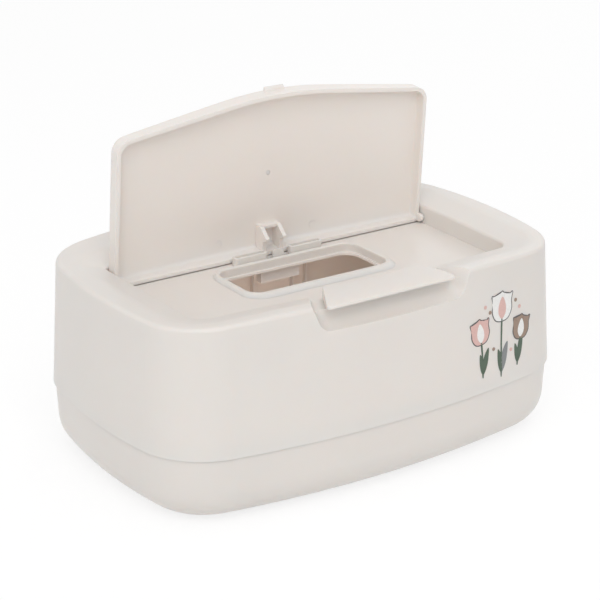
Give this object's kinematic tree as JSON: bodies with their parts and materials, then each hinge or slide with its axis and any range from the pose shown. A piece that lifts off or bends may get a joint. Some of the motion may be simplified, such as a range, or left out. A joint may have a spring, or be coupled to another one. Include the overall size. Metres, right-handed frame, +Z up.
{
  "type": "wipes box",
  "caption": "Rounded plastic box for wipes: a lift-off cover with a sunk flip lid, a collared dispensing slot, and a push button over a finger scoop, on a footed tray.",
  "frame": {"origin": "on the table under the middle of the box, midway between its feet", "axes": "+X along the long side to the right as seen from the button, the button's side faces -Y, +Z up"},
  "size_m": [0.24, 0.161, 0.1736],
  "materials": {
    "shell_plastic": "warm off-white moulded plastic with a soft gloss",
    "spring_steel": "bright drawn wire",
    "foot_rubber": "pale grey matt rubber"
  },
  "bodies": {
    "tray": {"lower_tray": "shell_plastic", "foot_front_left": "foot_rubber", "foot_front_right": "foot_rubber", "foot_rear_left": "foot_rubber", "foot_rear_right": "foot_rubber"},
    "cover": {"upper_shell": "shell_plastic", "slot_collar": "shell_plastic", "lid_detent": "shell_plastic", "button_spring": "spring_steel"},
    "lid": {"flip_lid": "shell_plastic"},
    "button": {"push_button": "shell_plastic"}
  },
  "joints": [
    {"name": "cover_lift", "type": "slide", "parent": "tray", "child": "cover", "axis": [0, 0, 1], "range_m": [0, 0.12]},
    {"name": "lid_hinge", "type": "hinge", "parent": "cover", "child": "lid", "pos_m": [0, 0.02485, 0.08895], "axis": [1, 0, 0], "range_deg": [0, 85]},
    {"name": "button_pivot", "type": "hinge", "parent": "cover", "child": "button", "pos_m": [0, -0.063, 0.0915], "axis": [1, 0, 0], "range_deg": [0, 8], "stiffness_Nm_per_rad": 0.1, "springref_deg": -8.59}
  ]
}
